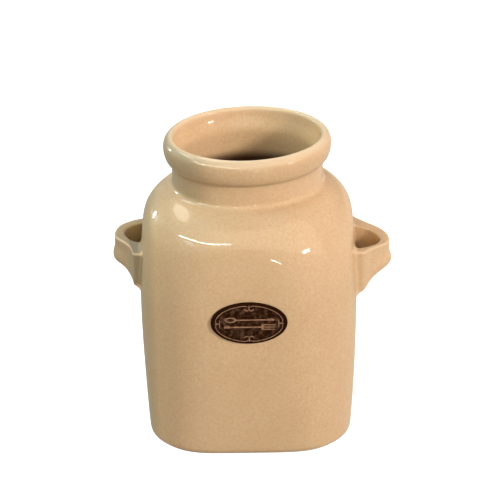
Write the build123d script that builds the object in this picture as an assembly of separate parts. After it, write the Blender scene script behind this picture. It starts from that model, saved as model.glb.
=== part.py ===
from build123d import *
import math
import os

# A free-standing stoneware crock for kitchen utensils. Millimetres, +Z up, -Y towards the front.
# The origin is the middle of the flat foot, on the jar's own axis.

# Jar, outside. The walls draw in a little from the belly, down to the foot and up to the shoulder.
crock_height = 200.3
belly_half_width = 71.0
belly_height = 92.0
foot_draw_in = 3.9
shoulder_draw_in = 1.8
shoulder_drop = 19.5
foot_round = 5.0
# How square the plan is: 2 would be a circle, and a large number a sharp square
squareness = 4.25

# Shoulder: a round dome that cuts the corners off the square and carries the neck.
# Its own curve runs on inwards under the neck, down to a share of the neck's radius.
corner_reach = 7.1
dome_rise = 71.8
dome_throat_share = 0.90
# How full the dome is: 2 would be a plain ellipse
dome_fullness = 2.24
# How crisply the dome meets the flat walls: a larger number is crisper
crease_crispness = 24.0

# Neck and rolled rim
neck_height = 15.4
neck_radius = 49.0
neck_base_round = 2.5
rim_radius = 54.4
rim_overhang_height = 10.7
rim_crown_height = 6.7
rim_crown_radius = 49.6
mouth_radius = 47.8
bore_radius = 44.5
lip_round_height = 2.5

# Walls
wall = 5.0
base_thickness = 7.0
inner_floor_round = 12.0
inner_shoulder_round = 3.0

# Handles: straps luted to the two side walls, flat on top, with a finger gap behind each.
# The drop is from the dome's crown to the strap's top, and the depths are the strap's own height
# at its tip and at its roots.
handle_drop = 39.5
handle_half_span = 30.0
handle_draft = 2.0
handle_edge_round = 1.5
left_reach = 17.9
left_tip_lift = 1.5
left_tip_depth = 18.2
left_root_depth = 24.0
right_reach = 23.0
right_tip_lift = -2.2
right_tip_depth = 17.5
right_root_depth = 29.5

# Edges of each strap seen from above, from its far root round the tip to its near root.
# A pair of shares is how far out, of the reach, and how far back, of the half span.
# Out by -1 is the line hidden inside the jar, where the strap is cut off.
left_outer_shares = ((-1, 1.20), (0.00, 1.10), (0.30, 0.99), (0.55, 0.85), (0.80, 0.66), (0.96, 0.39),
                     (1.00, 0.12), (0.95, -0.06), (0.77, -0.22), (0.50, -0.42), (0.34, -0.64), (0.26, -0.92))
left_gap_shares = ((-1, 0.94), (0.05, 0.73), (0.30, 0.60), (0.50, 0.45), (0.63, 0.18), (0.50, -0.14),
                   (0.31, -0.29), (0.03, -0.36), (-1, -0.38))
right_outer_shares = ((-1, 1.30), (0.05, 1.04), (0.26, 0.86), (0.50, 0.69), (0.76, 0.50), (0.93, 0.27),
                      (1.00, -0.02), (0.97, -0.23), (0.87, -0.38), (0.70, -0.53), (0.39, -0.79), (0.22, -0.97))
right_gap_shares = ((-1, 0.62), (0.02, 0.50), (0.35, 0.37), (0.57, 0.18), (0.71, -0.10), (0.60, -0.40),
                    (0.34, -0.61), (0.09, -0.74))
# Each underside seen from the front, from the tip in to the wall.
# A pair of shares is how far out, of the reach, and how far up, from the root's depth to the tip's.
left_underside_shares = ((0.92, 1.00), (0.70, 0.87), (0.50, 0.58), (0.36, 0.25), (0.22, 0.08), (0.05, 0.01))
right_underside_shares = ((0.88, 1.00), (0.66, 0.88), (0.48, 0.68), (0.35, 0.40), (0.27, 0.16), (0.17, 0.02),
                          (0.05, -0.03))

# Badge: an oval metal plate bent to the front wall, with a raised border line, on a pad of adhesive.
# The drop is from the dome's crown to the badge's middle.
badge_half_width = 24.6
badge_half_height = 14.7
badge_drop = 69.0
badge_thickness = 1.8
badge_edge_round = 0.8
border_inset = 2.6
border_width = 0.8
border_relief = 0.5
adhesive_thickness = 0.5
adhesive_inset = 1.6
adhesive_seat_gap = 0.1

# Places that follow from the sizes above
rim_height = crock_height - rim_crown_height
crease_height = rim_height - rim_overhang_height
crown_height = crease_height - neck_height
dome_foot_height = crown_height - dome_rise
dome_reach = belly_half_width + corner_reach
shoulder_height = crown_height - shoulder_drop
handle_top = crown_height - handle_drop
badge_centre_height = crown_height - badge_drop

# Working allowances that leave no size on the finished pieces
overrun = 8.0
embed = 9.0
section_points = 32
seam_turn = math.pi / 4
quarter_turn = 90
wall_levels = 4
dome_levels = 9
shoulder_band_share = 0.12


def soft_least(a, b):
    """The smaller of two radii, eased where they are nearly alike."""
    return (a ** -crease_crispness + b ** -crease_crispness) ** (-1 / crease_crispness)


def half_width(z):
    """Half the jar's width across its flats: one parabola down to the foot, one up to the shoulder."""
    if z < belly_height:
        share = (belly_height - z) / belly_height
        return belly_half_width - foot_draw_in * share ** 2
    share = (z - belly_height) / (shoulder_height - belly_height)
    return belly_half_width - shoulder_draw_in * share ** 2


def section(z, flat, dome):
    """A level section: a square with bowed sides, its corners cut by the dome's circle."""
    points = []
    for i in range(section_points):
        turn = 2 * math.pi * i / section_points + seam_turn
        c, s = math.cos(turn), math.sin(turn)
        side = flat / (abs(c) ** squareness + abs(s) ** squareness) ** (1 / squareness)
        radius = soft_least(side, dome)
        points.append((radius * c, radius * s, z))
    edge = Edge.make_spline(points, periodic=True, parameters=list(range(section_points + 1)))
    return Face(Wire([edge]))


def jar_form(inset, floor, throat):
    """The jar's closed form up to the crown of its dome, moved inwards by the inset."""
    sections = []
    for i in range(wall_levels):
        z = floor + (dome_foot_height - floor) * i / wall_levels
        sections.append(section(z, half_width(z) - inset, dome_reach - inset))
    for i in range(dome_levels + 1):
        turn = math.pi / 2 * i / dome_levels
        z = dome_foot_height + (dome_rise - inset) * math.sin(turn) ** (2 / dome_fullness)
        out = (dome_reach - inset - throat) * abs(math.cos(turn)) ** (2 / dome_fullness)
        sections.append(section(z, half_width(z) - inset, throat + out))
    return loft(sections)


def outer_form(grown=0.0):
    """The jar's outside as a closed form, or that form grown outwards."""
    return jar_form(-grown, 0.0, dome_throat_share * neck_radius + grown)


def shoulder_line(form, inset):
    """The edge where the neck, or the bore, meets a form's dome."""
    crown = crown_height - inset
    return form.edges().filter_by_position(Axis.Z, crown - dome_rise * shoulder_band_share, crown)


def neck_and_rim():
    """The round neck under its rolled rim, as one solid of revolution."""
    under = EllipticalCenterArc((neck_radius, rim_height), rim_radius - neck_radius, rim_overhang_height,
                                -quarter_turn, arc_size=quarter_turn)
    over = EllipticalCenterArc((rim_crown_radius, rim_height), rim_radius - rim_crown_radius, rim_crown_height,
                               0, arc_size=quarter_turn)
    rest = Polyline((rim_crown_radius, crock_height), (0, crock_height), (0, dome_foot_height),
                    (neck_radius, dome_foot_height), (neck_radius, crease_height))
    return revolve(Plane.XZ * make_face(under + over + rest), Axis.Z)


def mouth_cutter():
    """The neck's bore, which flares under the rim to the rounded lip."""
    lip_height = crock_height - lip_round_height
    flare_middle = (lip_height + crease_height) / 2
    top = crock_height + overrun
    lip = EllipticalCenterArc((rim_crown_radius, lip_height), rim_crown_radius - mouth_radius, lip_round_height,
                              quarter_turn, arc_size=quarter_turn)
    flare = Bezier((mouth_radius, lip_height), (mouth_radius, flare_middle), (bore_radius, flare_middle),
                   (bore_radius, crease_height))
    rest = Polyline((bore_radius, crease_height), (bore_radius, dome_foot_height), (0, dome_foot_height),
                    (0, top), (rim_crown_radius, top), (rim_crown_radius, crock_height))
    return revolve(Plane.XZ * make_face(lip + flare + rest), Axis.Z)


def crock_body():
    """The cast shell: squared jar, dome, neck and rolled rim outside, one smooth hollow inside."""
    outside = outer_form()
    outside = fillet(outside.edges().sort_by(Axis.Z)[0], foot_round)
    outside = outside + neck_and_rim()
    outside = fillet(shoulder_line(outside, 0.0), neck_base_round)
    hollow = jar_form(wall, base_thickness, dome_throat_share * bore_radius)
    hollow = fillet(hollow.edges().sort_by(Axis.Z)[0], inner_floor_round)
    hollow = hollow + mouth_cutter()
    hollow = fillet(shoulder_line(hollow, wall), inner_shoulder_round)
    return outside - hollow


def strap_plan(shares, reach, height):
    """The area between one edge of a strap, seen from above, and the line hidden inside the jar."""
    wall_plane = half_width(handle_top)
    hidden = wall_plane - embed
    points = [(wall_plane + out * (reach if out >= 0 else embed), along * handle_half_span)
              for out, along in shares]
    square_end = [] if points[-1][0] == hidden else [points[-1]]
    back = Polyline(*square_end, (hidden, points[-1][1]), points[0])
    return Plane.XY.offset(height) * make_face(Spline(*points) + back)


def strap_side(underside_shares, reach, tip_lift, tip_depth, root_depth):
    """The strap seen from the front: flat on top, its underside sweeping from the tip to a deep root."""
    wall_plane = half_width(handle_top)
    hidden = wall_plane - embed
    beyond = wall_plane + reach + overrun
    beyond_top = handle_top + tip_lift * (reach + overrun) / reach
    low = handle_top - root_depth
    tip_low = handle_top + tip_lift - tip_depth
    under = Spline((beyond, tip_low), *[(wall_plane + reach * out, low + (tip_low - low) * up)
                                        for out, up in underside_shares], (hidden, low))
    rest = Polyline((hidden, low), (hidden, handle_top), (wall_plane, handle_top), (beyond, beyond_top),
                    (beyond, tip_low))
    return extrude(Plane.XZ * make_face(under + rest), handle_half_span * 2, both=True)


def strap(outer_shares, gap_shares, underside_shares, reach, tip_lift, tip_depth, root_depth):
    """A handle on the right-hand wall, cut to the jar so that the two meet face to face."""
    high = handle_top + overrun
    low = handle_top - root_depth - overrun
    block = loft([strap_plan(outer_shares, reach, high), strap_plan(outer_shares, reach + handle_draft, low)])
    gap = extrude(strap_plan(gap_shares, reach, low), high - low)
    solid = (block & strap_side(underside_shares, reach, tip_lift, tip_depth, root_depth)) - gap
    wall_plane = half_width(handle_top)
    outside_edges = solid.edges().filter_by_position(Axis.X, wall_plane - embed / 2, wall_plane + reach * 2)
    return fillet(outside_edges, handle_edge_round) - outer_form()


def left_handle():
    strap_solid = strap(left_outer_shares, left_gap_shares, left_underside_shares, left_reach, left_tip_lift,
                        left_tip_depth, left_root_depth)
    return mirror(strap_solid, Plane.YZ)


def right_handle():
    return strap(right_outer_shares, right_gap_shares, right_underside_shares, right_reach, right_tip_lift,
                 right_tip_depth, right_root_depth)


def front_oval(inset):
    """An oval block through the front wall, smaller than the badge by the inset all round."""
    oval = Ellipse(badge_half_width - inset, badge_half_height - inset)
    place = Plane((0, -dome_reach - overrun, badge_centre_height), x_dir=(1, 0, 0), z_dir=(0, 1, 0))
    return extrude(place * oval, dome_reach)


def front_layer(block, near, far):
    """The part of a block that lies between two distances off the jar's outside."""
    return block & (outer_form(far) - outer_form(near))


def badge_adhesive():
    """A thin pad between the wall and the badge."""
    return front_layer(front_oval(adhesive_inset), adhesive_seat_gap, adhesive_thickness)


def badge_plate():
    """The plate, bent to the wall, with its rounded edge and the raised border line."""
    face = adhesive_thickness + badge_thickness
    plate = front_layer(front_oval(0.0), adhesive_thickness, face)
    plate = fillet(plate.edges().sort_by(Axis.Y)[0], badge_edge_round)
    line = front_oval(border_inset) - front_oval(border_inset + border_width)
    return plate + front_layer(line, adhesive_thickness, face + border_relief)


os.makedirs("parts", exist_ok=True)
export_step(crock_body(), "parts/crock_body.step")
export_step(left_handle(), "parts/left_handle.step")
export_step(right_handle(), "parts/right_handle.step")
export_step(badge_adhesive(), "parts/badge_adhesive.step")
export_step(badge_plate(), "parts/badge_plate.step")
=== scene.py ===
import math

import bpy
import numpy as np
from mathutils import Matrix, Vector


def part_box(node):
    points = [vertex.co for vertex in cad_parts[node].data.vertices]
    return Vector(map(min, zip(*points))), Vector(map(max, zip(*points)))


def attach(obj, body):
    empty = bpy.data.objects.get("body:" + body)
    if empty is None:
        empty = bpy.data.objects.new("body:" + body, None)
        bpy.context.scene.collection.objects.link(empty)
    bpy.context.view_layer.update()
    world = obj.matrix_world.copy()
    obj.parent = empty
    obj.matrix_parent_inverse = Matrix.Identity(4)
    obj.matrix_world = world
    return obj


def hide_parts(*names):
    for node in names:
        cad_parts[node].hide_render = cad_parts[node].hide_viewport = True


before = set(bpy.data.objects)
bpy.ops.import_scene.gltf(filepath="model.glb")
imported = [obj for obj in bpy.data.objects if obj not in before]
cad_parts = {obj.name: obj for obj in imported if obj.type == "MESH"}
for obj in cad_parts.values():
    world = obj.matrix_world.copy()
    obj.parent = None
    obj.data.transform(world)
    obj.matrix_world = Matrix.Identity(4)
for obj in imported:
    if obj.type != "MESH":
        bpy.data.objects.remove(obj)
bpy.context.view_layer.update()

bl_info = {
    "name": "Utensil Crock",
    "version": (1, 0, 0),
    "blender": (4, 5, 0),
    "location": "View3D > Sidebar > Crock",
    "description": "Builds a glazed stoneware utensil crock with strap handles and an oval metal badge",
    "category": "Add Mesh",
}

MM = 0.001
BODY = "root"
CROCK_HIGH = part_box("crock_body")[1]
# Half width in metres that stands for a level section without flats
NO_FLATS = 1.0
# Points round the jar, badge and pad, rows along a strap, and posts along a studio wall
CROCK_AROUND, BADGE_AROUND, PAD_AROUND, STRAP_ROWS, WALL_POSTS = 288, 512, 160, 230, 24
# The innermost ring of the foot and of the hollow's floor, as a share of the outermost
POLE_SHARE = 0.06
# Waves of the cast wall's waver: bumps round the jar, radians per metre of height, and start
WAVES = ((3, 40, 0.0), (5, -55, 1.7), (2, 75, 0.6))
# How strongly painted shade, a darker olive colour, is laid on the left of the rim and neck, on the left
# wall, in the crease under the rim and on each strap, from 0 to 1
RIM_PAINTED_SHADE, WALL_PAINTED_SHADE, CREASE_PAINTED_SHADE, STRAP_PAINTED_SHADES = 0.6, 0.42, 0.18, {"left": 0.47, "right": 0.0}


# Properties

def number(name, description, default, precision=3, **kind):
    """A number property."""
    return bpy.props.FloatProperty(name=name, description=description, default=default, precision=precision,
                                   **kind)


def length(name, description, millimetres):
    """A length property, held in metres, its default given in millimetres."""
    return number(name, description, millimetres * MM, 5, unit="LENGTH", subtype="DISTANCE")


def angle(name, description, degrees):
    """An angle property, its default given in degrees."""
    return number(name, description, math.radians(degrees), unit="ROTATION", subtype="ANGLE")


def colour(name, description, default):
    """A colour property, as linear red, green and blue."""
    return bpy.props.FloatVectorProperty(name=name, description=description, default=default,
                                         subtype="COLOR", size=3, min=0.0, max=1.0)


class CrockSizes(bpy.types.PropertyGroup):
    """Sizes of the jar's outside, rim and hollow."""
    height: length("Height", "From the foot to the rim's top", CROCK_HIGH.z / MM)
    belly_half_width: length("Belly half width", "Half the widest width", 71.0)
    belly_height: length("Belly height", "Where the jar is widest", 92.0)
    foot_draw_in: length("Foot draw-in", "How far the walls draw in to the foot", 3.9)
    shoulder_draw_in: length("Shoulder draw-in", "How far each wall draws in to the shoulder", 1.8)
    shoulder_drop: length("Shoulder drop", "From the dome's crown to the top of the flats", 19.5)
    foot_round: length("Foot rounding", "Radius of the foot's edge", 5.0)
    squareness: number("Squareness", "2 is a circle, more is squarer", 4.25)
    corner_reach: length("Corner reach", "How far the dome's circle passes the flats", 7.1)
    dome_rise: length("Dome rise", "Height of the dome", 71.8)
    dome_throat_share: number("Dome throat", "The dome's end, as a share of the neck's radius", 0.90)
    dome_fullness: number("Dome fullness", "2 is a plain ellipse, more is fuller", 2.24)
    crease_crispness: number("Crease crispness", "How crisply dome and flats meet", 36.0)
    neck_height: length("Neck height", "From the dome's crown to the crease under the rim", 15.4)
    neck_radius: length("Neck radius", "Outside radius of the neck", 49.0)
    neck_base_ease: length("Neck base ease", "Reach of the soft corner under the neck", 3.4)
    rim_crease_ease: length("Rim crease ease", "Reach of the soft corner under the rim", 2.0)
    rim_radius: length("Rim radius", "Outside radius of the rolled rim", 54.4)
    rim_overhang: length("Rim overhang", "Height of the rim's lower curve", 10.7)
    rim_crown: length("Rim crown", "Height of the rim's upper curve", 6.7)
    rim_crown_radius: length("Rim crown radius", "Radius of the rim's highest ring", 49.6)
    mouth_radius: length("Mouth radius", "Inside radius just under the lip", 47.8)
    bore_radius: length("Bore radius", "Inside radius of the neck", 44.5)
    lip_round: length("Lip rounding", "Height of the lip's inner curve", 2.5)
    wall: length("Wall", "The wall's thickness", 5.0)
    base: length("Base", "The floor's thickness", 7.0)
    floor_round: length("Floor rounding", "Radius of the floor's edge inside", 12.0)
    inner_shoulder_ease: length("Inner shoulder ease", "Reach of the soft corner under the bore", 4.0)
    # Painted shade: the glaze colour darkens with depth in the hollow, standing in for the shade there
    hollow_shade_start: length("Hollow start", "Depth where the glaze starts to darken", 27.0)
    hollow_shade_end: length("Hollow end", "Depth where the glaze is darkest", 35.0)
    neck_tilt: angle("Neck tilt", "How far neck and rim tip to the right", 1.1)
    neck_lean: length("Neck lean", "How far neck and rim sit off the axis", 0.3)
    waver: length("Waver", "How uneven the cast wall is", 0.12)


class HandleSizes(bpy.types.PropertyGroup):
    """Sizes of the two strap handles."""
    drop: length("Drop", "From the dome's crown to the strap's top", 39.5)
    half_span: length("Half span", "Half the strap's length along the wall", 30.0)
    left_reach: length("Left reach", "How far the left strap stands out", 17.9)
    left_tip_lift: length("Left tip lift", "How far the left strap's tip rises", 1.5)
    left_tip_depth: length("Left tip depth", "Height of the left strap at its tip", 18.2)
    left_root_depth: length("Left root depth", "Height of the left strap at the wall", 24.0)
    right_reach: length("Right reach", "How far the right strap stands out", 23.0)
    right_tip_lift: length("Right tip lift", "How far the right strap's tip rises", -2.2)
    right_tip_depth: length("Right tip depth", "Height of the right strap at its tip", 17.5)
    right_root_depth: length("Right root depth", "Height of the right strap at the wall", 29.5)
    top_round: length("Top rounding", "Radius of the strap's upper edges", 1.7)
    low_round: length("Lower rounding", "Radius of the strap's lower edge", 3.2)
    bulge: length("Bulge", "How far the outer face swells", 1.5)
    groove: length("Groove", "How far the outer face dips", 0.3)
    luting: length("Luting", "Radius of the joint on the wall", 2.4)
    luting_below: length("Luting below", "Radius of the joint under the strap", 5.0)
    embed: length("Embed", "How deep the strap's ends go in", 3.4)


class BadgeSizes(bpy.types.PropertyGroup):
    """Sizes of the badge and of the pad behind it."""
    half_width: length("Half width", "Half the oval's width", 24.4)
    half_height: length("Half height", "Half the oval's height", 14.4)
    drop: length("Drop", "From the dome's crown to the badge's middle", 69.0)
    thickness: length("Thickness", "The plate's thickness", 1.3)
    edge_round: length("Edge rounding", "Radius of the plate's edge", 1.2)
    border_half_width: length("Border half width", "Half the raised border's width", 21.6)
    border_half_height: length("Border half height", "Half the raised border's height", 12.4)
    line_width: length("Line width", "Width of the border line", 0.75)
    scroll_width: length("Scroll width", "Width of the scrolls' lines", 1.0)
    curl: length("Curl", "Radius of the scrolls' curls", 1.45)
    stem: length("Stem", "From the border to the curls' middles", 2.05)
    bar_inset: length("Bar inset", "From the border to the bar at each end", 2.9)
    bar_half_height: length("Bar half height", "Half the height of the bar at each end", 2.2)
    notch: length("Notch", "How far the border dips at an ornament", 1.0)
    relief: length("Relief", "Height of the raised lines", 0.5)
    adhesive: length("Adhesive", "The pad's thickness", 0.5)
    adhesive_gap: length("Adhesive gap", "Clearance behind the pad", 0.1)
    adhesive_inset: length("Adhesive inset", "From the plate's edge to the pad's", 1.6)


class Finishes(bpy.types.PropertyGroup):
    """Colours of the glaze, bare clay and metal, and of the shade painted on the glaze."""
    glaze: colour("Glaze", "The glaze over most of the jar", (0.57, 0.405, 0.235))
    glaze_deep: colour("Deep glaze", "The glaze where it lies thick", (0.52, 0.350, 0.190))
    glaze_thin: colour("Thin glaze", "The glaze where it runs thin", (0.66, 0.51, 0.335))
    # Painted shade: a darker olive colour laid on the jar's left side, in the crease under the rim and on the
    # left strap
    glaze_painted_shade: colour("Pooled glaze", "The olive glaze where it pools", (0.28, 0.23, 0.135))
    # Painted shade: a near-black colour laid deep in the hollow
    hollow_painted_shade: colour("Inside glaze", "The dark glaze deep in the hollow", (0.075, 0.036, 0.018))
    speck: colour("Speck", "Fine specks in the glaze", (0.36, 0.20, 0.10))
    clay: colour("Clay", "The bare clay of the foot", (0.72, 0.62, 0.50))
    patina: colour("Patina", "The badge's dark ground", (0.015, 0.0035, 0.0005))
    patina_worn: colour("Worn patina", "Paler patches in the badge's ground", (0.095, 0.052, 0.028))
    copper: colour("Rubbed copper", "The badge's raised lines", (0.30, 0.17, 0.10))
    adhesive: colour("Adhesive", "The pad behind the badge", (0.020, 0.014, 0.010))
    floor: colour("Floor", "The studio floor", (0.30, 0.30, 0.30))


class StudioSettings(bpy.types.PropertyGroup):
    """Camera and lights."""
    elevation: angle("Elevation", "How far the camera looks down", 23.82)
    roll: angle("Roll", "How far the camera leans", -0.82)
    distance: length("Distance", "From the camera to its target", 1415.0)
    target_side: length("Target side", "The target's place off the axis", 1.24)
    target_height: length("Target height", "The target's height", 117.5)
    focal: length("Focal length", "For a 36 mm sensor", 154.15)
    sky_front_left: colour("Sky front left", "Light from above, front left", (0.019, 0.010, 0.0))
    sky_back_left: colour("Sky back left", "Light from above, back left", (0.260, 0.290, 0.388))
    sky_front_right: colour("Sky front right", "Light from above, front right", (0.0, 0.0, 0.0))
    sky_back_right: colour("Sky back right", "Light from above, back right", (0.123, 0.166, 0.234))
    ground_front_left: colour("Ground front left", "Light from below, front left", (0.633, 0.498, 0.444))
    ground_back_left: colour("Ground back left", "Light from below, back left", (0.272, 0.281, 0.260))
    ground_front_right: colour("Ground front right", "Light from below, front right", (0.03, 0.142, 0.192))
    ground_back_right: colour("Ground back right", "Light from below, back right", (0.811, 0.702, 0.558))
    floor_glow: number("Floor glow", "Strength of the floor's own light", 1.0)


# Shape tools

def soft_step(value, low, high):
    """Smoothstep: 0 below low, 1 above high and an S curve 3t^2 - 2t^3 between."""
    t = np.clip((value - low) / (high - low), 0.0, 1.0)
    return t * t * (3 - 2 * t)


def hump(value, middle, width):
    """A bell curve exp(-((value - middle) / width)^2)."""
    return np.exp(-((value - middle) / width) ** 2)


def lengths_along(path):
    """Distance along a polyline to each of its points."""
    return np.hstack(([0.0], np.cumsum(np.linalg.norm(np.diff(path, axis=0), axis=1))))


def spline(points, steps):
    """A natural cubic spline through the points, its knots spaced by chord length. With t from 0 to 1 between
    two knots h apart, a point is (1-t) p + t q + h^2/6 (((1-t)^3 - (1-t)) p" + (t^3 - t) q")."""
    points = np.asarray(points, float)
    knots = lengths_along(points)
    spans = np.diff(knots)
    system = np.diag(2 * (spans[:-1] + spans[1:])) + np.diag(spans[1:-1], 1) + np.diag(spans[1:-1], -1)
    turns = 6 * np.diff(np.diff(points, axis=0) / spans[:, None], axis=0)
    bends = np.pad(np.linalg.solve(system, turns), ((1, 1), (0, 0)))
    place = np.linspace(0.0, knots[-1], steps)
    k = np.clip(np.searchsorted(knots, place, side="right") - 1, 0, len(spans) - 1)
    t = ((place - knots[k]) / spans[k])[:, None]
    bent = ((1 - t) ** 3 - (1 - t)) * bends[k] + (t ** 3 - t) * bends[k + 1]
    return (1 - t) * points[k] + t * points[k + 1] + spans[k][:, None] ** 2 / 6 * bent


def at_shares(path, shares):
    """Points of a polyline at shares of its length."""
    places = lengths_along(path)
    return np.stack([np.interp(shares * places[-1], places, column) for column in path.T], axis=1)


def ease_corner(before, after, reach, steps):
    """Joins two polylines at their shared corner by a quadratic Bezier that starts a reach away from it."""
    corner = before[-1]
    before, after = (path[np.linalg.norm((path - corner)[:, :2], axis=1) > reach] for path in (before, after))
    t = np.linspace(0.0, 1.0, steps + 2)[1:-1, None]
    bend = (1 - t) ** 2 * before[-1] + 2 * t * (1 - t) * corner + t ** 2 * after[0]
    return np.vstack((before, bend, after))


def quarter(start, end, steps):
    """Angles from start to end, given in quarter turns."""
    return np.linspace(start, end, steps) * math.pi / 2


def closed_mesh(name, rings, values):
    """A closed mesh on a grid of rings: quads between neighbours round each ring, and a fan over each end.
    values are further numbers per point, by attribute name."""
    points = np.vstack((rings.reshape(-1, 3), rings[0].mean(axis=0), rings[-1].mean(axis=0)))
    here = np.arange(len(points) - 2).reshape(rings.shape[:2])
    beside = np.roll(here, -1, axis=1)
    quads = np.stack((here[:-1], beside[:-1], beside[1:], here[1:]), axis=-1).reshape(-1, 4)
    low_end, high_end = (np.full(len(here[0]), len(points) - back) for back in (2, 1))
    fans = np.hstack(((beside[0], here[0], low_end), (here[-1], beside[-1], high_end))).T
    triangles = np.concatenate((quads[:, (0, 1, 2)], quads[:, (0, 2, 3)], fans))
    a, b, c = (points[triangles[:, n]] - points.mean(axis=0) for n in range(3))
    outward = 1 if (a * np.cross(b, c)).sum() > 0 else -1
    mesh = bpy.data.meshes.new(name)
    mesh.from_pydata(points, [], [*quads[:, ::outward].tolist(), *fans[:, ::outward].tolist()])
    mesh.shade_smooth()
    for attribute, per_point in values.items():
        closed = np.hstack((per_point.ravel(), [per_point[0].mean(), per_point[-1].mean()]))
        mesh.attributes.new(attribute, "FLOAT", "POINT").data.foreach_set("value", closed.astype(np.float32))
    return mesh


def place_piece(name, rings, values, material, node):
    """Puts a closed mesh in the scene as the piece that stands for a CAD node."""
    mesh = closed_mesh(name, rings, values)
    mesh.materials.append(material)
    piece = bpy.data.objects.new(name, mesh)
    bpy.context.scene.collection.objects.link(piece)
    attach(piece, BODY)
    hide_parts(node)


# The jar's form

def soft_least(a, b, crispness):
    """The smaller of two radii, eased where they are nearly alike: (a^-k + b^-k)^(-1/k)."""
    return (a ** -crispness + b ** -crispness) ** (-1 / crispness)


def crown_height(jar):
    """Height of the dome's crown."""
    return jar.height - jar.rim_crown - jar.rim_overhang - jar.neck_height


def dome_foot_height(jar):
    """Height where the dome starts to turn in."""
    return crown_height(jar) - jar.dome_rise


def half_width(z, jar):
    """Half the width across the flats: one parabola down to the foot, one up to the shoulder."""
    top = crown_height(jar) - jar.shoulder_drop
    below = jar.foot_draw_in * ((jar.belly_height - z) / jar.belly_height) ** 2
    above = jar.shoulder_draw_in * ((z - jar.belly_height) / (top - jar.belly_height)) ** 2
    return jar.belly_half_width - np.where(z < jar.belly_height, below, above)


def plan_radius(turn, flat, dome, jar):
    """Radius of a level section: bowed flats, flat / (|cos|^n + |sin|^n)^(1/n), cut by a circle."""
    n = jar.squareness
    side = flat * (np.abs(np.cos(turn)) ** n + np.abs(np.sin(turn)) ** n) ** (-1 / n)
    return soft_least(side, dome, jar.crease_crispness)


def wall_radius(turn, z, jar):
    """Outside radius of the jar below its neck, for a height and a turn about the axis."""
    reach = jar.belly_half_width + jar.corner_reach
    throat = jar.dome_throat_share * jar.neck_radius
    rise = np.clip((z - dome_foot_height(jar)) / jar.dome_rise, 0.0, 1.0)
    out = np.sqrt(1 - rise ** jar.dome_fullness) ** (2 / jar.dome_fullness)
    return plan_radius(turn, half_width(z, jar), throat + (reach - throat) * out, jar)


def wall_rings(z, inset, jar):
    """Profile rows (round radius, height, flat half width) of the wall, moved in by an inset."""
    reach = jar.belly_half_width + jar.corner_reach
    return np.stack(np.broadcast_arrays(reach - inset, z, half_width(z, jar) - inset), axis=1)


def edge_rings(level, inset, radius, start, end, steps, jar):
    """Profile rows of the rounded edge between a level face and the wall, by quarter turns."""
    turn = quarter(start, end, steps)
    return wall_rings(level + radius * (1 - np.cos(turn)), inset + radius * (1 - np.sin(turn)), jar)


def dome_rings(inset, neck, steps, jar):
    """Profile rows of the dome from its foot to the neck: out by cos^(2/f), up by sin^(2/f)."""
    reach = jar.belly_half_width + jar.corner_reach - inset
    throat = jar.dome_throat_share * neck
    last = math.acos(((neck - throat) / (reach - throat)) ** (jar.dome_fullness / 2))
    turn = np.linspace(0.0, last, steps)
    out = throat + (reach - throat) * np.cos(turn) ** (2 / jar.dome_fullness)
    z = dome_foot_height(jar) + (jar.dome_rise - inset) * np.sin(turn) ** (2 / jar.dome_fullness)
    return np.stack((out, z, half_width(z, jar) - inset), axis=1)


def round_rings(radius, z):
    """Profile rows of a round stretch, such as the neck."""
    return np.stack(np.broadcast_arrays(radius, z, NO_FLATS), axis=1)


def arc_rings(radius, side, z, up, start, end, steps):
    """Profile rows of an elliptical arc about (radius, z) that reaches the radius side, by quarter turns."""
    turn = quarter(start, end, steps)
    return round_rings(radius + abs(side - radius) * np.cos(turn), z + up * np.sin(turn))


def crock_profile(jar):
    """Profile rows from the foot's middle, up the outside, over the rim and down to the hollow's floor."""
    rim_height = jar.height - jar.rim_crown
    lip_height = jar.height - jar.lip_round
    crease = rim_height - jar.rim_overhang
    foot_curve = edge_rings(0.0, 0.0, jar.foot_round, 0.0, 1.0, 10, jar)
    foot = foot_curve[0] * np.linspace(POLE_SHARE, 1.0, 9)[:-1, None]
    dome_foot = dome_foot_height(jar)
    wall = wall_rings(np.linspace(jar.foot_round, dome_foot, 40)[1:-1], 0.0, jar)
    dome = dome_rings(0.0, jar.neck_radius, 74, jar)
    neck = round_rings(jar.neck_radius, np.linspace(dome[-1, 1], crease, 40))
    under = arc_rings(jar.neck_radius, jar.rim_radius, rim_height, jar.rim_overhang, -1.0, 0.0, 26)
    over = arc_rings(jar.rim_crown_radius, jar.rim_radius, rim_height, jar.rim_crown, 0.0, 1.0, 16)
    lip = arc_rings(jar.rim_crown_radius, jar.mouth_radius, lip_height, jar.lip_round, 1.0, 2.0, 10)
    inner_dome = dome_rings(jar.wall, jar.bore_radius, 40, jar)[::-1]
    z = np.linspace(lip_height, inner_dome[0, 1], 32)[1:]
    flare = (jar.mouth_radius - jar.bore_radius) * soft_step(z, crease, lip_height)
    bore = round_rings(jar.bore_radius + flare, z)
    bore[-1] = inner_dome[0]
    inner_wall = wall_rings(np.linspace(dome_foot, jar.base + jar.floor_round, 22)[1:-1], jar.wall, jar)
    floor_curve = edge_rings(jar.base, jar.wall, jar.floor_round, 1.0, 0.0, 12, jar)
    floor = floor_curve[-1] * np.linspace(1.0, POLE_SHARE, 8)[1:, None]
    floor[:, 1] = jar.base
    outside = np.vstack((foot, foot_curve, wall, dome))
    outside = ease_corner(outside, neck, jar.neck_base_ease, 8)
    outside = ease_corner(outside, under, jar.rim_crease_ease, 6)
    inside = ease_corner(bore, inner_dome, jar.inner_shoulder_ease, 8)
    return np.vstack((outside, over[1:], lip[1:], inside, inner_wall, floor_curve, floor))


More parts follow.
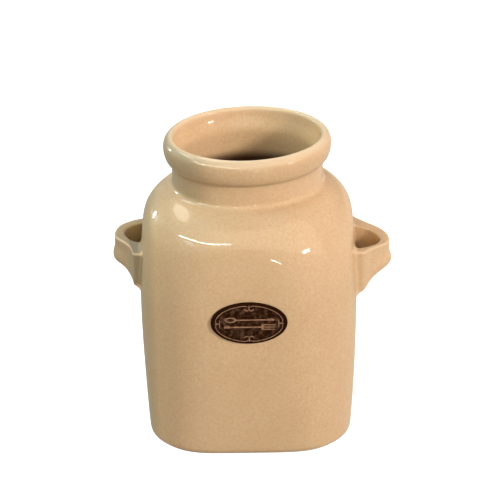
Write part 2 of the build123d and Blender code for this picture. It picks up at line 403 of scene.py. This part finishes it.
def crock_points(jar):
    """The shell as rings of points, from the profile's rows and the level section's formula."""
    rows = crock_profile(jar)
    turn = np.linspace(0.0, 2 * math.pi, CROCK_AROUND, endpoint=False)[None, :]
    radius = plan_radius(turn, rows[:, 2:], rows[:, :1], jar)
    z = rows[:, 1:2] + 0 * turn
    wave = sum(np.sin(bumps * turn + rise * z + start) for bumps, rise, start in WAVES)
    radius = radius + jar.waver / 2 * wave * soft_step(z, jar.foot_round, 4 * jar.foot_round)
    x, y = radius * np.cos(turn), radius * np.sin(turn)
    lift = soft_step(z, crown_height(jar) - 2 * jar.shoulder_drop, crown_height(jar))
    return np.stack((x + jar.neck_lean * lift, y, z + x * math.tan(jar.neck_tilt) * lift), axis=-1)


def crock_glaze(jar, points):
    """Shares of the glaze at each point: thin on the rim's crown and lip, painted olive shade down the left
    of the rim and neck, on the left wall and in the crease under the rim, and painted dark shade deep in the
    hollow."""
    height = crock_profile(jar)[:, 1:2]
    ring = np.arange(len(height))[:, None]
    top = height.argmax()
    crown = crown_height(jar)
    left, even = -points[..., 0], 0 * points[..., 0]
    thin = soft_step(height, jar.height - 0.8 * jar.rim_crown, jar.height)
    rim = soft_step(height, crown - 2 * MM, crown + 4 * MM)
    rim = rim * soft_step(left, 0.35 * jar.neck_radius, 0.85 * jar.neck_radius)
    wall = soft_step(left, 0.82 * jar.belly_half_width, 0.92 * jar.belly_half_width)
    crease = hump(height, crown + jar.neck_height - 0.5 * MM, 3.0 * MM)
    # Painted shade: the left of the rim and neck, the left wall and the crease under the rim are darkened
    # towards olive
    painted_shade = RIM_PAINTED_SHADE * rim + WALL_PAINTED_SHADE * wall + CREASE_PAINTED_SHADE * crease
    # Painted shade: the glaze darkens with depth below the rim inside the hollow
    deep = (ring > top) * soft_step(jar.height - height, jar.hollow_shade_start, jar.hollow_shade_end)
    return {"thin_glaze": thin + even, "painted_shade": painted_shade * (1 - soft_step(ring, top - 6, top)),
            "hollow": deep + even}


# The handles' form

# Each strap's outer edge and its gap's edge from above, from the far root round the tip to the near root.
# A pair of shares is how far out, of the reach, and how far back, of the half span. Out by -1 is in the wall.
# Then its underside from the front, from inside the wall out past the tip.
# A pair of shares is how far out, of the reach, and how far up, from the root's depth to the tip's.
STRAP_SHARES = {
    "left": (
        ((-1, 1.20), (0.00, 1.10), (0.30, 0.99), (0.55, 0.85), (0.80, 0.66), (0.96, 0.39),
         (1.00, 0.12), (0.95, -0.06), (0.77, -0.22), (0.50, -0.42), (0.34, -0.64), (0.26, -0.92)),
        ((-1, 1.02), (0.05, 0.81), (0.30, 0.68), (0.50, 0.53), (0.63, 0.26), (0.50, -0.06),
         (0.31, -0.21), (0.03, -0.28), (-1, -0.30)),
        ((-1, 0.00), (0.05, 0.01), (0.22, 0.08), (0.36, 0.25), (0.50, 0.58), (0.70, 0.87),
         (0.92, 1.00), (1.30, 1.02))),
    "right": (
        ((-1, 1.30), (0.05, 1.04), (0.26, 0.86), (0.50, 0.69), (0.76, 0.50), (0.93, 0.27),
         (1.00, -0.02), (0.97, -0.23), (0.87, -0.38), (0.70, -0.53), (0.39, -0.79), (0.22, -0.97)),
        ((-1, 0.62), (0.02, 0.50), (0.35, 0.37), (0.57, 0.18), (0.71, -0.10), (0.60, -0.40),
         (0.34, -0.61), (0.09, -0.74)),
        ((-1, 0.00), (0.05, -0.03), (0.17, 0.02), (0.27, 0.16), (0.35, 0.40), (0.48, 0.68),
         (0.66, 0.88), (0.88, 1.00), (1.30, 1.02))),
}
# How much a strap's rows crowd towards the wall, from 0 to 1
ROOT_CROWDING = 0.55
# Middle and breadth of the bulge and groove on a strap's face, as shares of its height
BULGE_BAND, GROOVE_BAND = (0.24, 0.22), (0.66, 0.2)


def strap_edge(shares, reach, wall_plane, handles):
    """One edge of a strap in plan, in metres, from the hidden far root to the hidden near root."""
    hidden = wall_plane - handles.embed
    points = np.array([(wall_plane + out * reach if out >= 0 else hidden, along * handles.half_span)
                       for out, along in shares])
    path = spline(points, 400)
    if points[-1, 0] > hidden:
        into_wall = np.linspace(path[-1], (hidden, path[-1, 1]), 60)
        path = ease_corner(path, into_wall, handles.top_round, 12)
    return path


def strap_section(handles, width, height):
    """Points round a strap's rounded section for each row: their shares across (0 inside, 1 outside) and up,
    and how far into a rounded corner they lie."""
    inner = 0.8 * handles.top_round
    corners = []
    for side, level, radius, start in ((0, 0, inner, 3), (0, 1, inner, 2), (1, 1, handles.top_round, 1),
                                       (1, 0, handles.low_round, 0)):
        turn = quarter(start, start - 1, 8)
        r = np.minimum(radius, 0.45 * np.minimum(width, height))[:, None]
        corners.append(np.stack((side + (1 - 2 * side + np.cos(turn)) * r / width[:, None],
                                 level + (1 - 2 * level + np.sin(turn)) * r / height[:, None],
                                 np.sin(quarter(0.0, 2.0, 8)) + 0 * r)))
    loop = []
    for corner, following in zip(corners, corners[1:] + corners[:1]):
        face = (following[..., :1] - corner[..., -1:]) * np.linspace(0.0, 1.0, 12)[1:-1]
        loop += [corner, corner[..., -1:] + face]
    return np.concatenate(loop, axis=-1)


def strap_points(side, jar, handles):
    """A strap on the +X wall. Each row joins a point of the gap's edge to one of the outer edge, and carries
    the rounded section, which is flared out to the wall by a quarter circle where it comes near."""
    outer_shares, gap_shares, underside_shares = STRAP_SHARES[side]
    reach, tip_lift, tip_depth, root_depth = (getattr(handles, f"{side}_{size}") for size in
                                              ("reach", "tip_lift", "tip_depth", "root_depth"))
    top = crown_height(jar) - handles.drop
    wall_plane = float(half_width(top, jar))
    even = np.linspace(0.0, 1.0, STRAP_ROWS)
    shares = even + ROOT_CROWDING * ((1 - np.cos(math.pi * even)) / 2 - even)
    outer = at_shares(strap_edge(outer_shares, reach, wall_plane, handles), shares)
    inner = at_shares(strap_edge(gap_shares, reach, wall_plane, handles), shares)
    width = np.linalg.norm(outer - inner, axis=1)

    def levels(x):
        out = (x - wall_plane) / reach
        up = np.interp(out, *spline(underside_shares, 200).T)
        low_root, low_tip = top - root_depth, top + tip_lift - tip_depth
        return top + tip_lift * np.maximum(out, 0.0), low_root + (low_tip - low_root) * up

    high, low = levels((outer[:, 0] + inner[:, 0]) / 2)
    across, up, edge = strap_section(handles, width, high - low)
    plan = inner[:, None] + (outer - inner)[:, None] * across[..., None]
    out_share = np.clip((plan[..., 0] - wall_plane) / reach, 0.0, 1.0)
    swell = handles.bulge * hump(up, *BULGE_BAND) - handles.groove * hump(up, *GROOVE_BAND)
    swell *= soft_step(across, 0.4, 1.0) * soft_step(out_share, 0.25, 0.8)
    plan = plan + ((outer - inner) / width[:, None])[:, None] * swell[..., None]
    high, low = levels(plan[..., 0])
    points = np.concatenate((plan, (low + (high - low) * up)[..., None]), axis=-1)
    return flare_to_wall(points, jar, handles), edge


def flare_to_wall(points, jar, handles):
    """Spreads what is near the wall along it, away from the strap, by r - sqrt(r^2 - (r - d)^2)."""
    along = np.gradient(points, axis=0)
    round_it = np.roll(points, -1, axis=1) - np.roll(points, 1, axis=1)
    normal = np.cross(along, round_it)
    normal *= np.sign((normal * (points - points.mean(axis=1, keepdims=True))).sum())
    normal[..., 0] = 0.0
    normal /= np.linalg.norm(normal, axis=-1, keepdims=True) + 1e-12
    radius = np.hypot(points[..., 0], points[..., 1])
    distance = radius - wall_radius(np.arctan2(points[..., 1], points[..., 0]), points[..., 2], jar)
    below = soft_step(-normal[..., 2], 0.2, 0.9)
    reach = handles.luting + (handles.luting_below - handles.luting) * below
    near = np.clip(1 - distance / reach, 0.0, 1.0)
    return points + normal * (reach * (1 - np.sqrt(1 - near ** 2 * 0.999)))[..., None]


# The badge's form

# Strokes of the spoon and fork in millimetres: start and end, each across and up, and width
UTENSIL_STROKES = (
    (-9.0, 2.5, 15.6, 2.5, 1.3), (12.5, 2.5, 15.2, 2.5, 2.2),
    (-15.6, -2.5, 8.0, -2.5, 1.3), (-15.2, -2.5, -12.5, -2.5, 2.2), (8.4, -3.7, 8.4, -1.3, 1.9),
    (8.8, -4.25, 16.2, -4.25, 0.75), (8.8, -3.08, 16.2, -3.08, 0.75),
    (8.8, -1.92, 16.2, -1.92, 0.75), (8.8, -0.75, 16.2, -0.75, 0.75),
)
# The spoon's bowl, in millimetres: its middle across and up, and half its length and breadth
SPOON_BOWL = (-11.8, 2.5, 4.5, 2.1)
# How deep the badge's ground lies under its edge
RECESS = 0.35 * MM


def front_wall(x, z, jar):
    """The jar's front surface at x and z, found by turning the plan radius towards x a few times."""
    y = -half_width(z, jar) + 0 * x
    for _ in range(6):
        radius = wall_radius(np.arctan2(y, x), z, jar)
        y = -np.sqrt(radius ** 2 - x ** 2)
    return np.stack((x + 0 * z, y, z + 0 * x), axis=-1)


def on_front(x, z, off, jar):
    """Points at a distance off the front wall, along its normal."""
    step = 0.2 * MM
    along = front_wall(x + step, z, jar) - front_wall(x - step, z, jar)
    upward = front_wall(x, z + step, jar) - front_wall(x, z - step, jar)
    normal = np.cross(along, upward)
    normal /= np.linalg.norm(normal, axis=-1, keepdims=True)
    return front_wall(x, z, jar) + normal * (off + 0 * x)[..., None]


def stroke(distance, width):
    """A raised line's share of its height: a rounded ridge where the distance is under half the width."""
    return np.clip(1 - (2 * distance / width) ** 2, 0.0, 1.0) ** 0.5


def to_segment(u, w, x, y, to_x, to_y):
    """Distance to a straight segment."""
    across, up = to_x - x, to_y - y
    t = np.clip(((u - x) * across + (w - y) * up) / (across ** 2 + up ** 2), 0.0, 1.0)
    return np.hypot(u - x - t * across, w - y - t * up)


def to_arc(u, w, radius, start, end):
    """Distance to a circular arc about the origin, between two angles in degrees."""
    off = np.abs((np.degrees(np.arctan2(w, u)) - (start + end) / 2 + 180) % 360 - 180)
    tips = [np.hypot(u - radius * math.cos(turn), w - radius * math.sin(turn))
            for turn in np.radians((start, end))]
    return np.where(off <= (end - start) / 2, np.abs(np.hypot(u, w) - radius), np.minimum(*tips))


def scroll(u, w, badge):
    """A small anchor-like scroll: a stem from the border in to two curls. The border lies at w = 0."""
    stem = np.hypot(u, w - np.clip(w, -badge.stem, 0.0))
    curls = to_arc(np.abs(u) - badge.curl, w + badge.stem, badge.curl, 180.0, 345.0)
    return stroke(np.minimum(stem, curls), badge.scroll_width)


def end_bar(u, w, badge):
    """A short bar across the oval's end, held by a stem. The border lies at w = 0."""
    stem = np.hypot(u, w - np.clip(w, -badge.bar_inset, 0.0))
    bar = np.hypot(np.maximum(np.abs(u) - badge.bar_half_height, 0.0), w + badge.bar_inset)
    return stroke(np.minimum(stem, bar), badge.scroll_width)


def utensils(u, w):
    """A spoon above a fork, head to tail, as raised shapes over a plan in millimetres: strokes, and an oval
    bowl with a dish in it."""
    strokes = [stroke(to_segment(u, w, *ends), width) for *ends, width in UTENSIL_STROKES]
    across, up, half_length, half_breadth = SPOON_BOWL
    bowl = np.hypot((u - across) / half_length, (w - up) / half_breadth)
    dish = 0.6 * np.clip((0.7 - bowl) / 0.3, 0.0, 1.0)
    return np.maximum.reduce([*strokes, np.clip((1 - bowl) / 0.2, 0.0, 1.0) - dish])


def badge_relief(u, w, badge):
    """Share of the relief's height: the border oval, which dips in to its ornaments, and the utensils."""
    a, b = badge.border_half_width, badge.border_half_height
    dip = hump(u, 0.0, 1.5 * MM) * (np.abs(w) > b / 2) + hump(w, 0.0, 1.3 * MM) * (np.abs(u) > a / 2)
    level = np.hypot(u / a, w / b)
    slope = np.maximum(np.hypot(u / a ** 2, w / b ** 2) / np.maximum(level, 1e-6), 1e-6)
    border = stroke(np.abs((level - 1) / slope + badge.notch * dip), badge.line_width)
    top = scroll(u, np.abs(w) - b, badge)
    side = end_bar(w, np.abs(u) - a, badge)
    return np.maximum.reduce([border, top, side, utensils(u / MM, w / MM)])


def oval_plan(insets, shares, around, badge):
    """Rings of an oval in the badge's plane. Each is inset from the edge, then scaled by a share."""
    turn = np.linspace(0.0, 2 * math.pi, around, endpoint=False)
    return (((badge.half_width - insets) * shares)[:, None] * np.cos(turn),
            ((badge.half_height - insets) * shares)[:, None] * np.sin(turn))


# Materials

class Nodes:
    """The node tree of a material or world, with a short way to add a node and link what feeds it."""

    def __init__(self, owner):
        owner.use_nodes = True
        self.owner = owner
        self.tree = owner.node_tree

    def set(self, node, inputs):
        """Sets or links a node's inputs. A plain colour gets full alpha."""
        for key, value in inputs.items():
            socket = node.inputs[key]
            if isinstance(value, bpy.types.NodeSocket):
                self.tree.links.new(value, socket)
            else:
                socket.default_value = (*value, 1.0) if socket.type == "RGBA" else value

    def add(self, kind, inputs=None, output=0, **settings):
        """Adds a node and gives one of its outputs."""
        node = self.tree.nodes.new("ShaderNode" + kind)
        for key, value in settings.items():
            setattr(node, key, value)
        self.set(node, inputs or {})
        return node.outputs[output]

    def finish(self, inputs):
        """Sets the shader's inputs and gives the material."""
        self.set(self.tree.nodes["Principled BSDF"], inputs)
        return self.owner

    def noise(self, scale, detail=2.0, roughness=0.5):
        """Noise on the object's own places, with a scale in features per metre."""
        place = self.add("TexCoord", output="Object")
        return self.add("TexNoise", {"Vector": place, "Scale": scale, "Detail": detail,
                                     "Roughness": roughness})

    def span(self, value, low, high, to_low=0.0, to_high=1.0):
        """Maps a value's range to another, held at its ends."""
        return self.add("MapRange", {"Value": value, "From Min": low, "From Max": high, "To Min": to_low,
                                     "To Max": to_high}, interpolation_type="SMOOTHSTEP")

    def calc(self, operation, a, b):
        """A sum of two values, or another operation on them."""
        return self.add("Math", {0: a, 1: b}, operation=operation)

    def mix(self, share, a, b):
        """Mixes two colours, plain ones or sockets."""
        return self.add("Mix", {0: share, 6: a, 7: b}, output=2, data_type="RGBA")

    def value_of(self, attribute):
        """A number kept with the mesh's points."""
        return self.add("Attribute", output="Fac", attribute_name=attribute)

    def bump(self, height, strength, distance, **more):
        """A bumped normal from a height."""
        return self.add("Bump", {"Height": height, "Strength": strength, "Distance": distance, **more},
                        output="Normal")


def glaze_material(finishes):
    """Glossy honey-beige glaze: cloudy and finely mottled, with specks, thin over edges, bare on the foot,
    and with painted shade: olive on the left and near-black deep in the hollow.
    """
    found = bpy.data.materials.get("glazed_stoneware_finish")
    if found:
        return found
    nodes = Nodes(bpy.data.materials.new("glazed_stoneware_finish"))
    cloud = nodes.span(nodes.noise(28.0, 3.0, 0.6), 0.30, 0.72)
    mottle = nodes.span(nodes.noise(560.0, 3.0, 0.7), 0.32, 0.68)
    depth = nodes.calc("ADD", nodes.calc("MULTIPLY", cloud, 0.4), nodes.calc("MULTIPLY", mottle, 0.8))
    specks = nodes.span(nodes.noise(900.0, 1.0, 0.4), 0.56, 0.74, 0.0, 0.22)
    thin = nodes.calc("MULTIPLY", nodes.value_of("thin_glaze"), 0.75)
    height = nodes.add("SeparateXYZ", {0: nodes.add("TexCoord", output="Object")}, output="Z")
    ragged = nodes.calc("ADD", height, nodes.calc("MULTIPLY", nodes.noise(160.0), 1.2 * MM))
    bare = nodes.span(ragged, 1.6 * MM, 1.0 * MM)
    base = finishes.glaze
    # Besides the glaze's own tones, this mixes in the painted olive shade and the painted near-black shade
    # deep in the hollow
    for share, over in ((depth, finishes.glaze_deep), (specks, finishes.speck), (thin, finishes.glaze_thin),
                        (nodes.value_of("painted_shade"), finishes.glaze_painted_shade),
                        (nodes.value_of("hollow"), finishes.hollow_painted_shade), (bare, finishes.clay)):
        base = nodes.mix(share, base, over)
    ripple = nodes.bump(nodes.noise(62.0, 1.0, 0.4), 0.35, 0.35 * MM)
    peel = nodes.bump(nodes.noise(700.0, 2.0, 0.5), 0.10, 0.04 * MM, Normal=ripple)
    return nodes.finish({"Base Color": base, "Roughness": nodes.span(bare, 0.0, 1.0, 0.30, 0.75),
                         "Normal": peel, "IOR": 1.5, "Specular IOR Level": 0.08, "Coat Weight": 0.65,
                         "Coat Roughness": 0.02})


def badge_material(finishes):
    """Antiqued copper: dark patina in the ground, worn in patches, and raised lines rubbed bright."""
    nodes = Nodes(bpy.data.materials.new("antique_copper_finish"))
    worn = nodes.span(nodes.noise(330.0, 4.0, 0.65), 0.44, 0.68, 0.0, 0.8)
    worn = nodes.calc("MULTIPLY", worn, nodes.value_of("field"))
    ground = nodes.mix(worn, finishes.patina, finishes.patina_worn)
    rubbed = nodes.span(nodes.value_of("relief"), 0.45, 0.95)
    uneven = nodes.span(nodes.noise(450.0), 0.25, 0.65, 0.55, 1.0)
    share = nodes.calc("MULTIPLY", rubbed, uneven)
    return nodes.finish({"Base Color": nodes.mix(share, ground, finishes.copper),
                         "Metallic": nodes.span(share, 0.0, 1.0, 0.0, 0.35),
                         "Normal": nodes.bump(nodes.noise(620.0, 4.0, 0.6), 0.55, 0.12 * MM),
                         "Roughness": nodes.span(share, 0.0, 1.0, 0.55, 0.38), "Specular IOR Level": 0.03})


def adhesive_material(finishes):
    """Dark rubbery adhesive with a dull, slightly uneven surface."""
    nodes = Nodes(bpy.data.materials.new("adhesive_finish"))
    patchy = nodes.span(nodes.noise(300.0), 0.3, 0.7, 0.0, 0.5)
    return nodes.finish({"Base Color": nodes.mix(patchy, finishes.adhesive, finishes.patina_worn),
                         "Roughness": nodes.span(patchy, 0.0, 0.5, 0.55, 0.8),
                         "Normal": nodes.bump(nodes.noise(900.0), 0.3, 0.05 * MM)})


def floor_material(finishes, studio):
    """Pale matt floor that glows as a light box does, with a faint clouding."""
    nodes = Nodes(bpy.data.materials.new("studio_floor_finish"))
    cloud = nodes.span(nodes.noise(3.0), 0.3, 0.7, 0.0, 0.3)
    duller = [0.98 * value for value in finishes.floor]
    return nodes.finish({"Base Color": nodes.mix(cloud, finishes.floor, duller), "Roughness": 0.9,
                         "Specular IOR Level": 0.0, "Emission Color": (1.0, 1.0, 1.0),
                         "Emission Strength": studio.floor_glow})


# Operators

class CROCK_OT_shell(bpy.types.Operator):
    """Builds the jar: foot, squared walls, dome, neck, rolled rim and the hollow inside"""
    bl_idname = "crock.shell"
    bl_label = "Crock shell"

    def execute(self, context):
        jar = context.scene.crock_sizes
        points = crock_points(jar)
        place_piece("crock_shell", points, crock_glaze(jar, points),
                    glaze_material(context.scene.crock_finishes), "crock_body")
        return {"FINISHED"}


class CROCK_OT_handles(bpy.types.Operator):
    """Builds the two strap handles, luted to the side walls"""
    bl_idname = "crock.handles"
    bl_label = "Strap handles"

    def execute(self, context):
        scene = context.scene
        for side, mirror in (("left", -1), ("right", 1)):
            points, edge = strap_points(side, scene.crock_sizes, scene.crock_handles)
            # Painted shade: the left strap is darkened towards olive, more at its near end; the right strap
            # gets none
            near_root = soft_step(np.linspace(0.0, 1.0, STRAP_ROWS), 0.68, 0.74)[:, None]
            painted_shade = STRAP_PAINTED_SHADES[side] * (1 + 0.7 * near_root) * (1 - edge)
            place_piece(side + "_strap", points * (mirror, 1.0, 1.0),
                        {"thin_glaze": 0.6 * edge, "painted_shade": painted_shade}, glaze_material(scene.crock_finishes),
                        side + "_handle")
        return {"FINISHED"}


class CROCK_OT_badge(bpy.types.Operator):
    """Builds the oval badge, bent to the front wall, with its border, scrolls and utensils"""
    bl_idname = "crock.badge"
    bl_label = "Oval badge"

    def execute(self, context):
        jar = context.scene.crock_sizes
        badge = context.scene.crock_badge
        low, high, edge = badge.adhesive, badge.adhesive + badge.thickness, badge.edge_round
        turn = quarter(0.0, 1.0, 10)
        back = np.linspace(0.05, 1.0, 6)
        side = np.linspace(low, high - edge, 5)[1:-1]
        face = np.linspace(1.0, 0.012, 132)[1:]
        insets = np.hstack((0 * back, 0 * side, edge * (1 - np.cos(turn)), edge + 0 * face))
        shares = np.hstack((back, 1 + 0 * side, 1 + 0 * turn, face))
        heights = np.hstack((low + 0 * back, side, high - edge * (1 - np.sin(turn)), high + 0 * face))
        front = (np.arange(len(insets)) >= len(insets) - len(face))[:, None]
        u, w = oval_plan(insets, shares, BADGE_AROUND, badge)
        inside = np.hypot(u / badge.border_half_width, w / badge.border_half_height)
        relief = badge_relief(u, w, badge) * front
        recess = RECESS * (1 - soft_step(inside, 0.93, 1.0))
        off = heights[:, None] + (badge.relief * relief - recess) * front
        field = (1 - soft_step(inside, 0.88, 0.98)) * front
        place_piece("badge_face", on_front(u, w + crown_height(jar) - badge.drop, off, jar),
                    {"relief": relief, "field": field}, badge_material(context.scene.crock_finishes),
                    "badge_plate")
        return {"FINISHED"}


class CROCK_OT_adhesive(bpy.types.Operator):
    """Builds the thin adhesive pad between the wall and the badge"""
    bl_idname = "crock.adhesive"
    bl_label = "Adhesive pad"

    def execute(self, context):
        jar = context.scene.crock_sizes
        badge = context.scene.crock_badge
        middle = (badge.adhesive + badge.adhesive_gap) / 2
        half = (badge.adhesive - badge.adhesive_gap) / 2
        turn = quarter(-1.0, 1.0, 9)
        disc = np.linspace(0.05, 1.0, 10)
        insets = badge.adhesive_inset - np.hstack((0 * disc, half * np.cos(turn), 0 * disc))
        shares = np.hstack((disc, 1 + 0 * turn, disc[::-1]))
        off = middle + half * np.hstack((0 * disc - 1, np.sin(turn), 0 * disc + 1))[:, None]
        u, w = oval_plan(insets, shares, PAD_AROUND, badge)
        place_piece("badge_pad", on_front(u, w + crown_height(jar) - badge.drop, off, jar), {},
                    adhesive_material(context.scene.crock_finishes), "badge_adhesive")
        return {"FINISHED"}


class CROCK_OT_stage(bpy.types.Operator):
    """Sets the floor, the even light, the lamps, the pale walls and the camera"""
    bl_idname = "crock.stage"
    bl_label = "Studio stage"

    def execute(self, context):
        scene = context.scene
        studio = scene.crock_studio
        make_floor(scene, studio)
        make_world(scene, studio)
        for lamps, target, glints in ((SOFT_LAMPS, JAR_MIDDLE, False), (GLINT_LAMPS, SHOULDER, True)):
            for lamp in lamps:
                make_lamp(scene, target, glints, *lamp)
        for wall in WALLS:
            make_wall(*wall)
        make_camera(scene, studio)
        return {"FINISHED"}


# The stage

# What the soft lamps and the glint lamps face
JAR_MIDDLE, SHOULDER = (0.0, 0.0, 0.12), (-0.02, -0.05, 0.15)
# Name, place, width and height in metres, watts and colour of each lamp
SOFT_LAMPS = (
    ("key", (1.65, -1.43, 1.12), (0.3, 0.3), 48.9, (1.0, 0.92, 0.83)),
    ("right", (2.01, -0.35, 0.94), (1.0, 1.0), 8.0, (1.0, 0.60, 0.90)),
    ("front", (0.0, -2.07, 0.87), (1.2, 1.2), 18.0, (1.0, 0.844, 0.594)),
    ("front_right", (0.87, -1.87, 0.87), (1.0, 1.0), 10.2, (0.65, 0.69, 1.0)),
    ("left", (-1.90, 0.0, 1.22), (1.2, 1.2), 21.8, (1.0, 0.95, 0.69)),
    ("high_left", (-1.22, -0.33, 1.92), (1.0, 1.0), 18.0, (0.23, 0.64, 1.0)),
    ("behind_left", (-1.16, 1.38, 1.38), (1.0, 1.0), 28.1, (1.0, 0.98, 0.756)),
    ("behind_right", (1.16, 1.38, 1.38), (1.0, 1.0), 24.4, (1.0, 0.908, 0.65)),
)
GLINT_LAMPS = (
    ("strip_left", (-0.77, -0.71, 0.64), (1.4, 0.035), 6.0, (1.0, 1.0, 0.90)),
    ("bar_right", (1.14, -0.71, 0.37), (0.22, 0.06), 2.6, (1.0, 0.98, 0.95)),
    ("window_behind", (-1.06, 0.80, 0.36), (0.10, 0.12), 1.6, (1.0, 1.0, 0.97)),
    ("shade_behind", (-0.90, 0.42, 1.03), (0.85, 0.34), 3.0, (1.0, 0.99, 0.92)),
    ("strip_behind", (-0.30, 0.51, 1.26), (0.08, 0.45), 2.4, (1.0, 1.0, 0.90)),
    ("bar_high", (0.45, -0.32, 1.30), (0.15, 0.03), 0.12, (1.0, 0.98, 0.95)),
    ("bow_front", (0.22, -0.97, 0.05), (0.12, 0.015), 0.3, (1.0, 0.98, 0.95)),
    ("lilac_left", (-1.15, -0.54, 0.61), (0.32, 0.07), 0.4, (0.52, 0.76, 1.0)),
)
OVAL_LAMPS = {"shade_behind"}
# Name, angles of the two ends from the front in degrees, and colour of each wall
WALLS = (
    ("wall_left", (-125.0, -50.0), (0.25, 0.25, 0.20)),
    ("wall_middle", (-50.0, 15.0), (0.55, 0.50, 0.40)),
    ("wall_right", (15.0, 80.0), (0.45, 0.375, 0.25)),
)
# The walls' distance in metres, their strength, and their top's height in degrees
WALL_DISTANCE, WALL_GLOW, WALL_TOP = 3.0, 4.0, 55.0
# The walls' lower edge: angles from the front and heights there, in degrees
WALL_EDGE = ((-125, -92, -74, -51, -35, -18, 0, 20, 36, 52, 66, 80),
             (3, 3, 11, 20, 20, 16, 6, 13, 16, 13, 7, -1))
# The floor's half width in metres and the camera's sensor in millimetres
FLOOR_HALF, SENSOR_WIDTH = 3.0, 36.0


def plain_sheet(name, points, faces, material, *unseen):
    """Puts a plain mesh in the studio, which the named kinds of ray pass by."""
    mesh = bpy.data.meshes.new(name)
    mesh.from_pydata(points, [], faces)
    mesh.materials.append(material)
    sheet = bpy.data.objects.new(name, mesh)
    for ray in unseen:
        setattr(sheet, "visible_" + ray, False)
    bpy.context.scene.collection.objects.link(sheet)
    return sheet


def make_floor(scene, studio):
    """A large level sheet at the foot's height, which only the camera sees."""
    points = [(x * FLOOR_HALF, y * FLOOR_HALF, 0.0) for x, y in ((-1, -1), (1, -1), (1, 1), (-1, 1))]
    floor = plain_sheet("studio_floor", points, [(0, 1, 2, 3)], floor_material(scene.crock_finishes, studio),
                        "diffuse", "glossy", "shadow")


def make_wall(name, side, radiance):
    """A bowed pale wall in front of the jar, seen only as a reflection in the glaze. side is its two ends'
    angles from the front, in degrees. Its lower edge is interpolated between the knots of WALL_EDGE."""
    angles = np.linspace(*side, WALL_POSTS)
    turn = np.radians(angles)
    low = np.radians(np.interp(angles, *WALL_EDGE))
    x, y = WALL_DISTANCE * np.sin(turn), -WALL_DISTANCE * np.cos(turn)
    points = np.vstack([np.stack((x, y, WALL_DISTANCE * np.tan(up)), axis=1)
                        for up in (low, 0 * low + math.radians(WALL_TOP))])
    quads = [(n, n + 1, n + 1 + WALL_POSTS, n + WALL_POSTS) for n in range(WALL_POSTS - 1)]
    material = Nodes(bpy.data.materials.new(name + "_finish")).finish(
        {"Base Color": (0.0, 0.0, 0.0), "Specular IOR Level": 0.0, "Emission Color": radiance,
         "Emission Strength": WALL_GLOW})
    wall = plain_sheet(name, points, quads, material, "camera", "diffuse", "shadow")


def make_world(scene, studio):
    """Even light from all round, blended from eight colours: above or below, front or back, left or right."""
    world = bpy.data.worlds.new("studio_daylight")
    nodes = Nodes(world)
    toward = nodes.add("TexCoord", output="Generated")

    def blend(axis, reach, low, high):
        along = nodes.add("SeparateXYZ", {0: toward}, output=axis)
        return nodes.mix(nodes.span(along, -reach, reach), low, high)

    def layer(level):
        left, right = (blend("Y", 0.5, getattr(studio, f"{level}_front_{side}"),
                             getattr(studio, f"{level}_back_{side}")) for side in ("left", "right"))
        return blend("X", 0.5, left, right)

    nodes.set(nodes.tree.nodes["Background"], {"Color": blend("Z", 0.05, layer("ground"), layer("sky"))})
    scene.world = world


def make_lamp(scene, target, glints, name, place, size, watts, tint):
    """A flat lamp that faces its target. It is seen either as a glint in the glaze or as soft light."""
    data = bpy.data.lights.new(name, "AREA")
    data.shape = "ELLIPSE" if name in OVAL_LAMPS else "RECTANGLE"
    data.size, data.size_y = size
    data.energy = watts
    data.color = tint
    lamp = bpy.data.objects.new(name, data)
    lamp.location = place
    lamp.rotation_euler = (Vector(place) - Vector(target)).to_track_quat("Z", "Y").to_euler()
    lamp.visible_glossy = glints
    lamp.visible_diffuse = not glints
    scene.collection.objects.link(lamp)


def make_camera(scene, studio):
    """The camera looks down at its target from the front, leaning a little."""
    data = bpy.data.cameras.new("studio_camera")
    data.sensor_width = SENSOR_WIDTH
    data.lens = studio.focal / MM
    camera = bpy.data.objects.new("studio_camera", data)
    camera.matrix_world = (Matrix.Translation((studio.target_side, 0.0, studio.target_height))
                           @ Matrix.Rotation(math.pi / 2 - studio.elevation, 4, "X")
                           @ Matrix.Rotation(studio.roll, 4, "Z")
                           @ Matrix.Translation((0.0, 0.0, studio.distance)))
    scene.collection.objects.link(camera)
    scene.camera = camera
    scene.view_settings.view_transform = "Standard"


class CROCK_PT_panel(bpy.types.Panel):
    """Lists the crock's pieces in the sidebar"""
    bl_idname = "CROCK_PT_panel"
    bl_label = "Utensil Crock"
    bl_space_type = "VIEW_3D"
    bl_region_type = "UI"
    bl_category = "Crock"

    def draw(self, context):
        for operator in OPERATORS:
            self.layout.operator(operator.bl_idname)
        for group in GROUPS:
            settings = getattr(context.scene, group)
            for key in settings.__annotations__:
                self.layout.prop(settings, key)


OPERATORS = (CROCK_OT_shell, CROCK_OT_handles, CROCK_OT_badge, CROCK_OT_adhesive, CROCK_OT_stage)
GROUPS = {"crock_sizes": CrockSizes, "crock_handles": HandleSizes, "crock_badge": BadgeSizes,
          "crock_finishes": Finishes, "crock_studio": StudioSettings}


def register():
    for item in (*GROUPS.values(), *OPERATORS, CROCK_PT_panel):
        bpy.utils.register_class(item)
    for name, group in GROUPS.items():
        setattr(bpy.types.Scene, name, bpy.props.PointerProperty(type=group))


def unregister():
    for name in GROUPS:
        delattr(bpy.types.Scene, name)
    for item in (CROCK_PT_panel, *reversed(OPERATORS), *reversed(list(GROUPS.values()))):
        bpy.utils.unregister_class(item)


def main():
    register()
    bpy.ops.crock.shell()
    bpy.ops.crock.handles()
    bpy.ops.crock.badge()
    bpy.ops.crock.adhesive()
    bpy.ops.crock.stage()


if __name__ == "__main__":
    main()
